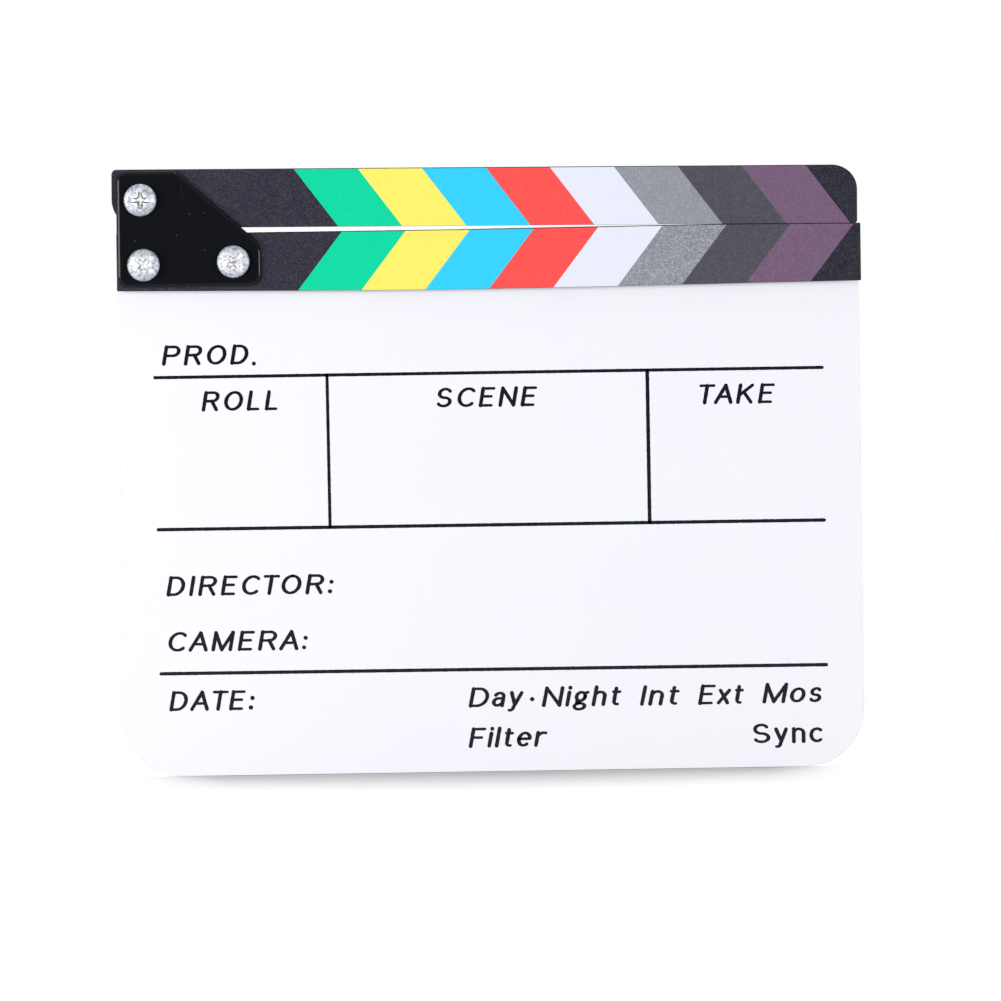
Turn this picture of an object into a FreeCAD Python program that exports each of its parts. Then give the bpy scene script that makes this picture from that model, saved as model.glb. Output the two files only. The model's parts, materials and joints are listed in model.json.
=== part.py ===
import FreeCAD, Part
import math
import os

# Clapperboard, upright, seen from the front along +Y. All lengths in millimetres.
# Origin: middle of the board's bottom edge, half way through its thickness. +X right, +Z up.

# Slate board: opal acrylic sheet that runs up behind the lower stick
BOARD_WIDTH = 300.0
BOARD_HEIGHT = 220.0
BOARD_THICKNESS = 3.0
BOARD_CORNER_RADIUS = 24.0
BOARD_EDGE_CHAMFER = 0.1

# Sticks: two bars of one thickness, each with a printed film on its front
STICK_OVERHANG = 0.55
STICK_THICKNESS = 8.0
STICK_EDGE_CHAMFER = 0.1
FILM_THICKNESS = 0.15
FILM_SETBACK = 0.02
TAPE_THICKNESS = 0.15
TAPE_MARGIN = 2.0

# Lower stick: a little bowed, so that its foot sags to a low point and its top rises to the bed where the sticks meet
LOWER_STICK_HEIGHT = 24.4
LOW_POINT_SHIFT = 15.0
FOOT_RISE = 1.55
FOOT_BOW_RADIUS = 6000.0
BED_INSET = 50.5
BED_RISE = 0.65
BED_FALL = 0.4
BED_BOW_RADIUS = 3000.0

# Clapper: where it turns, how far it reaches and how its corners are rounded
CLAPPER_HEIGHT = 23.5
PIVOT_INSET = 9.1
PIVOT_RISE = 13.95
PIVOT_DROP = 0.35
HEEL_REACH = 11.3
TIP_SETBACK = 0.6
TOE_RADIUS = 2.1
TIP_RADIUS = 9.7
LIP_RADIUS = 1.2
CLAP_CLEARANCE = 0.1

# Hinge plate: a triangle with cut corners, pressed from sheet steel
PLATE_WIDTH = 58.35
PLATE_TOP_WIDTH = 24.15
PLATE_NOSE_HEIGHT = 16.9
PLATE_FOOT_MARGIN = 2.8
PLATE_TOP_MARGIN = 0.6
PLATE_THICKNESS = 2.0
PLATE_CORNER_RADIUS = 5.0
PLATE_NOSE_RADIUS = 8.5
PLATE_TOP_RADIUS = 4.0
PLATE_SHOULDER_RADIUS = 3.2
PLATE_EDGE_RADIUS = 1.5

# Screws: pan heads with a cross recess
CORNER_SCREW_INSET = 10.65
CORNER_SCREW_RISE = 9.3
INNER_SCREW_EDGE = 11.4
INNER_SCREW_RISE = 10.15
SCREW_DIAMETER = 6.0
SCREW_END_CHAMFER = 0.7
PLATE_SCREW_PROUD = 0.6
PIVOT_SCREW_PROUD = 2.1
HEAD_DIAMETER = 13.1
HEAD_HEIGHT = 3.9
HEAD_RIM_HEIGHT = 1.0
RECESS_SPAN = 9.4
RECESS_FOOT_SPAN = 3.6
RECESS_DEPTH = 2.4
RECESS_ARM_WIDTH = 1.7
RECESS_PILOT_WIDTH = 3.8
RECESS_PILOT_DEPTH = 3.0
PIVOT_RECESS_TURN = 0.0
CORNER_RECESS_TURN = 42.0
INNER_RECESS_TURN = 48.0

# Washers and nuts behind the board
WASHER_DIAMETER = 12.0
WASHER_THICKNESS = 1.6
SLIP_WASHER_DIAMETER = 14.0
SLIP_WASHER_THICKNESS = 0.5
NUT_WIDTH = 10.0
NUT_HEIGHT = 5.0
NUT_FACE_DIAMETER = 9.4
NUT_CHAMFER_HEIGHT = 0.7
LOCK_NUT_HEX_HEIGHT = 4.0
LOCK_NUT_COLLAR_HEIGHT = 2.0
LOCK_NUT_COLLAR_DIAMETER = 8.8
LOCK_NUT_COLLAR_WALL = 0.5
LOCK_NUT_LIP_HEIGHT = 0.4
LOCK_NUT_LIP_WIDTH = 0.4

# Clearances, each on the radius or the gap
SCREW_CLEARANCE = 0.2
PIVOT_CLEARANCE = 0.08
THREAD_CLEARANCE = 0.02
PIVOT_PLAY = 0.05
CUT_OVERRUN = 1.0
DEPTH_TOLERANCE = 0.001

# Depths of the stack, front to back: the front faces -Y
BOARD_FRONT = -BOARD_THICKNESS / 2
BOARD_BACK = BOARD_THICKNESS / 2
STICK_BACK = BOARD_FRONT - TAPE_THICKNESS
STICK_FRONT = STICK_BACK - STICK_THICKNESS
PLATE_BACK = STICK_FRONT - FILM_THICKNESS
PLATE_FRONT = PLATE_BACK - PLATE_THICKNESS
SLIP_WASHER_BACK = PLATE_BACK + SLIP_WASHER_THICKNESS
CLAPPER_FRONT = SLIP_WASHER_BACK + PIVOT_PLAY + FILM_THICKNESS
CLAPPER_BACK = CLAPPER_FRONT + STICK_THICKNESS
PIVOT_WASHER_FRONT = CLAPPER_BACK + PIVOT_PLAY
PIVOT_WASHER_BACK = PIVOT_WASHER_FRONT + WASHER_THICKNESS
LOCK_NUT_HEX_BACK = PIVOT_WASHER_BACK + LOCK_NUT_HEX_HEIGHT
LOCK_NUT_BACK = LOCK_NUT_HEX_BACK + LOCK_NUT_COLLAR_HEIGHT
WASHER_BACK = BOARD_BACK + WASHER_THICKNESS
NUT_BACK = WASHER_BACK + NUT_HEIGHT

# Places on the front, from the board's outline
LEFT = -BOARD_WIDTH / 2
RIGHT = BOARD_WIDTH / 2
STICK_LEFT = LEFT - STICK_OVERHANG
STICK_RIGHT = RIGHT + STICK_OVERHANG
STICK_FOOT = BOARD_HEIGHT - LOWER_STICK_HEIGHT
FILM_MARGIN = STICK_EDGE_CHAMFER + FILM_SETBACK
BED_X = STICK_RIGHT - BED_INSET
BED_Z = BOARD_HEIGHT + BED_RISE
PLATE_FOOT = STICK_FOOT + PLATE_FOOT_MARGIN
PLATE_RIGHT = STICK_LEFT + PLATE_WIDTH
PIVOT_X = LEFT + PIVOT_INSET
PIVOT_Z = BOARD_HEIGHT + PIVOT_RISE
CORNER_SCREW_X = STICK_LEFT + CORNER_SCREW_INSET
CORNER_SCREW_Z = PLATE_FOOT + CORNER_SCREW_RISE
INNER_SCREW_X = PLATE_RIGHT - INNER_SCREW_EDGE
INNER_SCREW_Z = PLATE_FOOT + INNER_SCREW_RISE
CLAPPER_REACH = RIGHT - TIP_SETBACK - PIVOT_X
CLAPPER_UNDER = CLAPPER_HEIGHT / 2 - PIVOT_DROP
CLAPPER_OVER = CLAPPER_HEIGHT / 2 + PIVOT_DROP

ALONG_Y = FreeCAD.Vector(0, 1, 0)
SCREW_HOLE = SCREW_DIAMETER + 2 * SCREW_CLEARANCE
PIVOT_HOLE = SCREW_DIAMETER + 2 * PIVOT_CLEARANCE
NUT_BORE = SCREW_DIAMETER + 2 * THREAD_CLEARANCE


def arc_corner(before, corner, after, radius):
    """Ends and middle of the arc that rounds a corner, tangent to both of its sides."""
    to_before = (before - corner).normalize()
    to_after = (after - corner).normalize()
    half_angle = to_before.getAngle(to_after) / 2
    setback = radius / math.tan(half_angle)
    bisector = (to_before + to_after).normalize()
    middle = corner + bisector * (radius / math.sin(half_angle) - radius)
    return corner + to_before * setback, middle, corner + to_after * setback


def rounded_slab(corners, front, back):
    """Plate between two depths whose outline is a list of corners (x, z, radius)."""
    points = [FreeCAD.Vector(x, front, z) for x, z, radius in corners]
    count = len(points)
    stops = []
    for index, (x, z, radius) in enumerate(corners):
        corner = points[index]
        if radius > 0:
            stops.append(arc_corner(points[index - 1], corner, points[(index + 1) % count], radius))
        else:
            stops.append((corner, None, corner))
    edges = []
    for index, (start, middle, end) in enumerate(stops):
        if middle is not None:
            edges.append(Part.Arc(start, middle, end).toShape())
        edges.append(Part.LineSegment(end, stops[(index + 1) % count][0]).toShape())
    face = Part.Face(Part.Wire(edges))
    return face.extrude(FreeCAD.Vector(0, back - front, 0))


def edges_at(shape, depth):
    """Edges that lie wholly at one depth."""
    found = []
    for edge in shape.Edges:
        if all(math.isclose(vertex.Y, depth, abs_tol=DEPTH_TOLERANCE) for vertex in edge.Vertexes):
            found.append(edge)
    return found


def cylinder(x, z, diameter, front, back):
    """Round bar along Y between two depths."""
    return Part.makeCylinder(diameter / 2, back - front, FreeCAD.Vector(x, front, z), ALONG_Y)


def bored(shape, x, z, diameter):
    """The shape with a hole right through it along Y."""
    front = shape.BoundBox.YMin - CUT_OVERRUN
    back = shape.BoundBox.YMax + CUT_OVERRUN
    return shape.cut(cylinder(x, z, diameter, front, back))


def screwed(shape):
    """The shape with clearance holes for the two screws through the lower stick."""
    shape = bored(shape, CORNER_SCREW_X, CORNER_SCREW_Z, SCREW_HOLE)
    return bored(shape, INNER_SCREW_X, INNER_SCREW_Z, SCREW_HOLE)


def make_board():
    """Sheet with square top corners behind the stick, rounded bottom corners and eased edges."""
    corners = [
        (LEFT, 0, BOARD_CORNER_RADIUS),
        (RIGHT, 0, BOARD_CORNER_RADIUS),
        (RIGHT, BOARD_HEIGHT, 0),
        (LEFT, BOARD_HEIGHT, 0),
    ]
    board = rounded_slab(corners, BOARD_FRONT, BOARD_BACK)
    eased = edges_at(board, BOARD_FRONT) + edges_at(board, BOARD_BACK)
    return screwed(board.makeChamfer(BOARD_EDGE_CHAMFER, eased))


def lower_stick_outline(margin):
    """Lower stick, drawn in by a margin all round.

    The foot is bowed about its low point. Over that point the top is level with the board, and then it rises
    to the bed, where the clapper lands, and falls away to the free end.
    """
    left = STICK_LEFT + margin
    right = STICK_RIGHT - margin
    low_point = -LOW_POINT_SHIFT
    return [
        (left, STICK_FOOT + FOOT_RISE + margin, 0),
        (low_point, STICK_FOOT + margin, FOOT_BOW_RADIUS),
        (right, STICK_FOOT + FOOT_RISE + margin, 0),
        (right, BED_Z - BED_FALL - margin, 0),
        (BED_X, BED_Z - margin, BED_BOW_RADIUS),
        (low_point, BOARD_HEIGHT - margin, BED_BOW_RADIUS),
        (left, BOARD_HEIGHT - margin, 0),
    ]


def make_lower_stick():
    """Bar across the top of the board, a little longer than the board is wide."""
    stick = rounded_slab(lower_stick_outline(0), STICK_FRONT, STICK_BACK)
    eased = edges_at(stick, STICK_FRONT) + edges_at(stick, STICK_BACK)
    return screwed(stick.makeChamfer(STICK_EDGE_CHAMFER, eased))


def make_lower_film():
    """Film on the front of the lower stick, trimmed just inside its eased edges."""
    return screwed(rounded_slab(lower_stick_outline(FILM_MARGIN), PLATE_BACK, STICK_FRONT))


def make_tape():
    """Bonding tape between the lower stick and the board."""
    return screwed(rounded_slab(lower_stick_outline(TAPE_MARGIN), STICK_BACK, BOARD_FRONT))


def clapper_outline(margin):
    """Clapper in its own frame, pivot at zero, drawn in by a margin all round.

    The heel under the pivot is round, so that it clears the lower stick as the clapper opens.
    The toe above it is nearly square, and its corner is what stops the clapper when it is wide open.
    """
    under = CLAPPER_UNDER - margin
    over = CLAPPER_OVER - margin
    heel = HEEL_REACH - margin
    tip = CLAPPER_REACH - margin
    return [
        (-heel, -under, min(heel, under)),
        (tip, -under, LIP_RADIUS - margin),
        (tip, over, TIP_RADIUS - margin),
        (-heel, over, TOE_RADIUS - margin),
    ]


def rest_tilt():
    """Angle in degrees that the clapper dips from the pivot to rest with its underside on the lower stick's bed."""
    reach = BED_X - PIVOT_X
    drop = PIVOT_Z - BED_Z - CLAP_CLEARANCE
    return math.degrees(math.acos(CLAPPER_UNDER / math.hypot(reach, drop)) - math.atan2(reach, drop))


def at_rest(shape):
    """Turns a shape drawn about the pivot to the closed position and carries it there."""
    shape.rotate(FreeCAD.Vector(0, 0, 0), ALONG_Y, rest_tilt())
    shape.translate(FreeCAD.Vector(PIVOT_X, 0, PIVOT_Z))
    return shape


def make_clapper_stick():
    """Swinging bar, with a running fit on the pivot screw."""
    stick = rounded_slab(clapper_outline(0), CLAPPER_FRONT, CLAPPER_BACK)
    eased = edges_at(stick, CLAPPER_FRONT) + edges_at(stick, CLAPPER_BACK)
    return at_rest(bored(stick.makeChamfer(STICK_EDGE_CHAMFER, eased), 0, 0, PIVOT_HOLE))


def make_clapper_film():
    """Film on the front of the clapper, trimmed just inside its eased edges."""
    film = rounded_slab(clapper_outline(FILM_MARGIN), CLAPPER_FRONT - FILM_THICKNESS, CLAPPER_FRONT)
    return at_rest(bored(film, 0, 0, SCREW_HOLE))


def make_hinge_plate():
    """Pressed plate: a long foot on the lower stick, a slope, and a short top over the pivot."""
    top = PIVOT_Z + CLAPPER_OVER - PLATE_TOP_MARGIN
    corners = [
        (STICK_LEFT, PLATE_FOOT, PLATE_CORNER_RADIUS),
        (PLATE_RIGHT, PLATE_FOOT, PLATE_CORNER_RADIUS),
        (PLATE_RIGHT, PLATE_FOOT + PLATE_NOSE_HEIGHT, PLATE_NOSE_RADIUS),
        (STICK_LEFT + PLATE_TOP_WIDTH, top, PLATE_SHOULDER_RADIUS),
        (STICK_LEFT, top, PLATE_TOP_RADIUS),
    ]
    plate = rounded_slab(corners, PLATE_FRONT, PLATE_BACK)
    plate = plate.makeFillet(PLATE_EDGE_RADIUS, edges_at(plate, PLATE_FRONT))
    return bored(screwed(plate), PIVOT_X, PIVOT_Z, SCREW_HOLE)


def cross_recess(crown):
    """Tool for the recess: two crossed wings that narrow with depth, and a four-sided pilot point."""
    mouth = RECESS_SPAN / 2
    foot = RECESS_FOOT_SPAN / 2
    arm = RECESS_ARM_WIDTH / 2
    corners = [(-mouth, crown), (mouth, crown), (foot, crown + RECESS_DEPTH), (-foot, crown + RECESS_DEPTH)]
    side = [FreeCAD.Vector(x, y, -arm) for x, y in corners]
    wing = Part.Face(Part.makePolygon(side + side[:1])).extrude(FreeCAD.Vector(0, 0, RECESS_ARM_WIDTH))
    crossed = wing.copy()
    crossed.rotate(FreeCAD.Vector(0, 0, 0), ALONG_Y, 90)
    half = RECESS_PILOT_WIDTH / 2
    square = [(-half, -half), (half, -half), (half, half), (-half, half)]
    rim = [FreeCAD.Vector(x, crown, z) for x, z in square]
    point = FreeCAD.Vector(0, crown + RECESS_PILOT_DEPTH, 0)
    sides = [Part.Face(Part.makePolygon([rim[i - 1], rim[i], point, rim[i - 1]])) for i in range(len(rim))]
    pilot = Part.Solid(Part.Shell(sides + [Part.Face(Part.makePolygon(rim + rim[:1]))]))
    return wing.fuse([crossed, pilot])


def make_screw(x, z, length, recess_turn):
    """Pan-head screw: a turned head and shank, then a tapered cross recess in the crown."""
    crown = PLATE_FRONT - HEAD_HEIGHT
    rim = PLATE_FRONT - HEAD_RIM_HEIGHT
    end = PLATE_FRONT + length
    head = HEAD_DIAMETER / 2
    shank = SCREW_DIAMETER / 2
    dome_rise = HEAD_HEIGHT - HEAD_RIM_HEIGHT
    dome_radius = (head ** 2 + dome_rise ** 2) / (2 * dome_rise)
    half_angle = math.asin(head / dome_radius) / 2
    dome_middle = FreeCAD.Vector(
        dome_radius * math.sin(half_angle), crown + dome_radius * (1 - math.cos(half_angle)), 0)
    top = FreeCAD.Vector(0, crown, 0)
    shoulder = FreeCAD.Vector(head, rim, 0)
    outline = [
        shoulder,
        FreeCAD.Vector(head, PLATE_FRONT, 0),
        FreeCAD.Vector(shank, PLATE_FRONT, 0),
        FreeCAD.Vector(shank, end - SCREW_END_CHAMFER, 0),
        FreeCAD.Vector(shank - SCREW_END_CHAMFER, end, 0),
        FreeCAD.Vector(0, end, 0),
        top,
    ]
    profile = Part.Wire([Part.Arc(top, dome_middle, shoulder).toShape()] + Part.makePolygon(outline).Edges)
    screw = Part.Face(profile).revolve(FreeCAD.Vector(0, 0, 0), ALONG_Y, 360)
    recess = cross_recess(crown)
    recess.rotate(FreeCAD.Vector(0, 0, 0), ALONG_Y, recess_turn)
    screw = screw.cut(recess)
    screw.translate(FreeCAD.Vector(x, 0, z))
    return screw


def make_washer(x, z, diameter, front, back):
    """Flat ring round a screw."""
    return bored(cylinder(x, z, diameter, front, back), x, z, SCREW_HOLE)


def hexagon_bar(x, z, front, back):
    """Hexagon bar with two flats upright and its corners chamfered at both ends."""
    corner = NUT_WIDTH / math.sqrt(3)
    points = []
    for side in range(7):
        angle = math.radians(60 * side + 30)
        points.append(FreeCAD.Vector(x + corner * math.cos(angle), front, z + corner * math.sin(angle)))
    prism = Part.Face(Part.makePolygon(points)).extrude(FreeCAD.Vector(0, back - front, 0))
    face = NUT_FACE_DIAMETER / 2
    turned = [
        FreeCAD.Vector(0, front, 0),
        FreeCAD.Vector(face, front, 0),
        FreeCAD.Vector(corner, front + NUT_CHAMFER_HEIGHT, 0),
        FreeCAD.Vector(corner, back - NUT_CHAMFER_HEIGHT, 0),
        FreeCAD.Vector(face, back, 0),
        FreeCAD.Vector(0, back, 0),
        FreeCAD.Vector(0, front, 0),
    ]
    blank = Part.Face(Part.makePolygon(turned)).revolve(FreeCAD.Vector(0, 0, 0), ALONG_Y, 360)
    blank.translate(FreeCAD.Vector(x, 0, z))
    return prism.common(blank)


def make_nut(x, z):
    """Hexagon nut against the washer behind the board."""
    return bored(hexagon_bar(x, z, WASHER_BACK, NUT_BACK), x, z, NUT_BORE)


def make_lock_nut():
    """Hexagon nut with a thin collar, whose rolled lip holds the locking ring."""
    nut = hexagon_bar(PIVOT_X, PIVOT_Z, PIVOT_WASHER_BACK, LOCK_NUT_HEX_BACK)
    root = LOCK_NUT_HEX_BACK - NUT_CHAMFER_HEIGHT
    nut = nut.fuse(cylinder(PIVOT_X, PIVOT_Z, LOCK_NUT_COLLAR_DIAMETER, root, LOCK_NUT_BACK))
    nut = nut.removeSplitter()
    pocket = LOCK_NUT_COLLAR_DIAMETER - 2 * LOCK_NUT_COLLAR_WALL
    lip = pocket - 2 * LOCK_NUT_LIP_WIDTH
    lip_front = LOCK_NUT_BACK - LOCK_NUT_LIP_HEIGHT
    nut = nut.cut(cylinder(PIVOT_X, PIVOT_Z, pocket, LOCK_NUT_HEX_BACK, lip_front))
    nut = nut.cut(cylinder(PIVOT_X, PIVOT_Z, lip, LOCK_NUT_HEX_BACK, LOCK_NUT_BACK + CUT_OVERRUN))
    return bored(nut, PIVOT_X, PIVOT_Z, NUT_BORE)


def make_lock_insert():
    """Locking ring that fills the collar under its lip."""
    ring = LOCK_NUT_COLLAR_DIAMETER - 2 * (LOCK_NUT_COLLAR_WALL + THREAD_CLEARANCE)
    back = LOCK_NUT_BACK - LOCK_NUT_LIP_HEIGHT - THREAD_CLEARANCE
    blank = cylinder(PIVOT_X, PIVOT_Z, ring, LOCK_NUT_HEX_BACK, back)
    return bored(blank, PIVOT_X, PIVOT_Z, NUT_BORE)


def make_parts():
    """Every piece under its node name."""
    pivot_length = LOCK_NUT_BACK + PIVOT_SCREW_PROUD - PLATE_FRONT
    plate_length = NUT_BACK + PLATE_SCREW_PROUD - PLATE_FRONT
    parts = {
        "slate_board": make_board(),
        "stick_tape": make_tape(),
        "lower_stick": make_lower_stick(),
        "lower_stick_film": make_lower_film(),
        "clapper_stick": make_clapper_stick(),
        "clapper_film": make_clapper_film(),
        "hinge_plate": make_hinge_plate(),
        "pivot_screw": make_screw(PIVOT_X, PIVOT_Z, pivot_length, PIVOT_RECESS_TURN),
        "pivot_front_washer": make_washer(
            PIVOT_X, PIVOT_Z, SLIP_WASHER_DIAMETER, PLATE_BACK, SLIP_WASHER_BACK),
        "pivot_back_washer": make_washer(
            PIVOT_X, PIVOT_Z, WASHER_DIAMETER, PIVOT_WASHER_FRONT, PIVOT_WASHER_BACK),
        "pivot_lock_nut": make_lock_nut(),
        "lock_nut_insert": make_lock_insert(),
    }
    plate_screws = [
        ("corner", CORNER_SCREW_X, CORNER_SCREW_Z, CORNER_RECESS_TURN),
        ("inner", INNER_SCREW_X, INNER_SCREW_Z, INNER_RECESS_TURN),
    ]
    for name, x, z, turn in plate_screws:
        parts[name + "_screw"] = make_screw(x, z, plate_length, turn)
        parts[name + "_washer"] = make_washer(x, z, WASHER_DIAMETER, BOARD_BACK, WASHER_BACK)
        parts[name + "_nut"] = make_nut(x, z)
    return parts


os.makedirs("parts", exist_ok=True)
for node, shape in make_parts().items():
    shape.exportStep("parts/" + node + ".step")
    box = shape.BoundBox
    print(node, "solids", len(shape.Solids), "volume", round(shape.Volume, 1), "valid", shape.isValid(),
          "size", round(box.XLength, 2), round(box.YLength, 2), round(box.ZLength, 2))
print("rest tilt in degrees", round(rest_tilt(), 3))
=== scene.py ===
import json
import math

import bmesh
import bpy
import numpy as np
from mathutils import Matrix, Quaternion, Vector

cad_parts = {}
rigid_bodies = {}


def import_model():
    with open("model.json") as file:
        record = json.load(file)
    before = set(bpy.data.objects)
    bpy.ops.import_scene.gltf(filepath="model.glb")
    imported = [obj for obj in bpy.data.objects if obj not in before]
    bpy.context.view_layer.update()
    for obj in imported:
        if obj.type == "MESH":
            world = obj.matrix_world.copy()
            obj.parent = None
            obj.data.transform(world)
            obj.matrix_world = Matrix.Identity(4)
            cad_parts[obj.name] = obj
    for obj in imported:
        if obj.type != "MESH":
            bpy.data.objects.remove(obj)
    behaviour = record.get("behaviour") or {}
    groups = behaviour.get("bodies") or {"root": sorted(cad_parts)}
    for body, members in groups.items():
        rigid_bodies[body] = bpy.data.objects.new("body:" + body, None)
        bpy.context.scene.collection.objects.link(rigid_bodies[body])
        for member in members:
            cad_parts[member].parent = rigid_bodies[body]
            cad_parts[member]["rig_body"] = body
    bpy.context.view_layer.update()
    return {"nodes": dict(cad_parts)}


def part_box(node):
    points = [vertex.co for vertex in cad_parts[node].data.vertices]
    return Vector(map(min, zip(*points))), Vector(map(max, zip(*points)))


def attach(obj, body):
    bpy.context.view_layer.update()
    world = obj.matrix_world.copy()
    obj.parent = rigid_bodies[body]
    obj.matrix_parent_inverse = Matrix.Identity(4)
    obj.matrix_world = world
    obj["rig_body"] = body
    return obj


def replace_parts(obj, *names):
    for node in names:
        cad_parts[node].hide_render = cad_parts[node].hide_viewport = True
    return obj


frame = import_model()
nodes = frame["nodes"]

# Slate board: one sheet of white cast acrylic, sawn to shape with two round bottom corners and eased edges.
# Its front is the dry-wipe face: glossy, faintly rippled from casting and dulled in soft sweeps by wiping.

MM = 0.001
BOARD_FACE = "f6f7fe"
BOARD_CLOUD = "f7f8fe"
BOARD_SAWN_EDGE = "e2e6ee"
BOARD_EDGE_ROUGHNESS = 0.55
CLOUD_SIZE = 45 * MM
RIPPLE_SIZE = 14 * MM
RIPPLE_HEIGHT = 0.03 * MM
WIPE_LENGTH = 90 * MM
WIPE_WIDTH = 9 * MM
WIPE_TURN = math.radians(24)


def linear(hex_colour):
    """An sRGB hex colour as linear red, green, blue and full alpha, by the inverse of the sRGB curve."""
    encoded = np.array([int(hex_colour[place:place + 2], 16) for place in (0, 2, 4)]) / 255
    straight = encoded / 12.92
    curved = ((encoded + 0.055) / 1.055) ** 2.4
    return [*np.where(encoded > 0.04045, curved, straight).tolist(), 1.0]


def feed(tree, node, inputs):
    """Fills a node's sockets: another node's output is linked, and anything else is the socket's value."""
    for socket, value in inputs.items():
        if isinstance(value, bpy.types.NodeSocket):
            tree.links.new(value, node.inputs[socket])
        else:
            node.inputs[socket].default_value = value


def add_node(tree, kind, inputs, stops=(), **settings):
    """One node: settings are its properties, inputs its sockets, stops a ramp's places and colours."""
    made = tree.nodes.new(kind)
    for name, value in settings.items():
        setattr(made, name, value)
    feed(tree, made, inputs)
    for index, (place, colour) in enumerate(stops):
        elements = made.color_ramp.elements
        element = elements[index] if index < len(elements) else elements.new(place)
        element.position = place
        element.color = colour
    return made


def start_material(name, constants):
    """A material with one Principled shader whose constant sockets are set, and its coordinates node."""
    material = bpy.data.materials.new(name)
    material.use_nodes = True
    tree = material.node_tree
    shader = tree.nodes["Principled BSDF"]
    feed(tree, shader, constants)
    place = tree.nodes.new("ShaderNodeTexCoord")
    return material, tree, shader, place


def cast_acrylic():
    """White acrylic: a faint cloud in the colour, wipe sweeps in the gloss, grey and dull sawn edges."""
    material, tree, shader, place = start_material("cast_acrylic_opal_white", {"IOR": 1.49})
    spot = place.outputs["Object"]
    cloud = add_node(tree, "ShaderNodeTexNoise", {"Vector": spot, "Scale": 1 / CLOUD_SIZE, "Detail": 3.0})
    face = add_node(
        tree, "ShaderNodeValToRGB", {"Fac": cloud.outputs["Fac"]},
        stops=[(0.3, linear(BOARD_FACE)), (0.7, linear(BOARD_CLOUD))])
    normal = add_node(tree, "ShaderNodeSeparateXYZ", {"Vector": place.outputs["Normal"]})
    flatness = add_node(tree, "ShaderNodeMath", {0: normal.outputs["Y"]}, operation="ABSOLUTE")
    sawn = add_node(
        tree, "ShaderNodeMapRange",
        {"Value": flatness.outputs["Value"], "From Min": 0.5, "From Max": 0.9,
         "To Min": 1.0, "To Max": 0.0})
    colour = add_node(
        tree, "ShaderNodeMixRGB",
        {"Fac": sawn.outputs["Result"], "Color1": face.outputs["Color"], "Color2": linear(BOARD_SAWN_EDGE)})
    sweep = add_node(
        tree, "ShaderNodeMapping",
        {"Vector": spot, "Rotation": (0, WIPE_TURN, 0), "Scale": (WIPE_LENGTH, WIPE_WIDTH, WIPE_WIDTH)},
        vector_type="TEXTURE")
    wiped = add_node(
        tree, "ShaderNodeTexNoise", {"Vector": sweep.outputs["Vector"], "Scale": 1.0, "Detail": 5.0})
    gloss = add_node(
        tree, "ShaderNodeMapRange",
        {"Value": wiped.outputs["Fac"], "From Min": 0.3, "From Max": 0.7, "To Min": 0.28, "To Max": 0.288})
    edge_gloss = add_node(
        tree, "ShaderNodeMath",
        {0: sawn.outputs["Result"], 1: BOARD_EDGE_ROUGHNESS}, operation="MULTIPLY")
    dulled = add_node(
        tree, "ShaderNodeMath",
        {0: gloss.outputs["Result"], 1: edge_gloss.outputs["Value"]}, operation="MAXIMUM")
    ripple = add_node(tree, "ShaderNodeTexNoise", {"Vector": spot, "Scale": 1 / RIPPLE_SIZE, "Detail": 1.0})
    bump = add_node(
        tree, "ShaderNodeBump",
        {"Height": ripple.outputs["Fac"], "Strength": 0.3, "Distance": RIPPLE_HEIGHT})
    feed(tree, shader, {
        "Base Color": colour.outputs["Color"],
        "Roughness": dulled.outputs["Value"],
        "Normal": bump.outputs["Normal"]})
    return material


nodes["slate_board"].material_slots[0].material = cast_acrylic()

# Ruled lines of the slate: screen-printed black ink, over a millimetre wide and a film of paint thick.
# Three run across the board and two stand between the upper pair, so that they part it into fields.

INK_BLACK = "0b0b19"
INK_THIN = "161626"
# The screen's mesh is too fine to show, so its mottle is drawn coarser.
INK_MOTTLE = 0.7 * MM
INK_THICKNESS = 0.04 * MM
INK_OVERLAP = 0.002 * MM
INK_STEP = 0.3 * MM
INK_WAVER = 0.05
INK_WAVES = (7.3 * MM, 2.9 * MM)
CAP_ROWS = 6
STROKE_LEAST_ROWS = 3
MERGE_DISTANCE = 0.0005 * MM
BOARD_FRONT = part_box("slate_board")[0].y
SHARP_ANGLE = math.radians(38)
# Line, its two ends and its width, in millimetres.
RULES = [
    ("title_rule", (-135.7, 161.7), (134.7, 161.8), 1.34),
    ("middle_rule", (-135.2, 100.1), (134.8, 99.9), 1.42),
    ("date_rule", (-134.9, 41.68), (134.9, 41.18), 1.43),
    ("roll_divider", (-65.63, 100.0), (-66.03, 161.7), 1.28),
    ("take_divider", (63.95, 100.0), (63.75, 161.7), 1.5),
]


def screen_ink():
    """Black screen ink: smooth and deep, a little mottled where the mesh laid it thin."""
    material, tree, shader, place = start_material(
        "screen_ink_black", {"IOR": 1.5, "Roughness": 0.24, "Specular IOR Level": 0.3})
    mottle = add_node(
        tree, "ShaderNodeTexNoise",
        {"Vector": place.outputs["Object"], "Scale": 1 / INK_MOTTLE, "Detail": 3.0})
    colour = add_node(
        tree, "ShaderNodeValToRGB", {"Fac": mottle.outputs["Fac"]},
        stops=[(0.4, linear(INK_BLACK)), (0.75, linear(INK_THIN))])
    bump = add_node(
        tree, "ShaderNodeBump",
        {"Height": mottle.outputs["Fac"], "Strength": 0.4, "Distance": INK_THICKNESS})
    feed(tree, shader, {"Base Color": colour.outputs["Color"], "Normal": bump.outputs["Normal"]})
    return material


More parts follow.
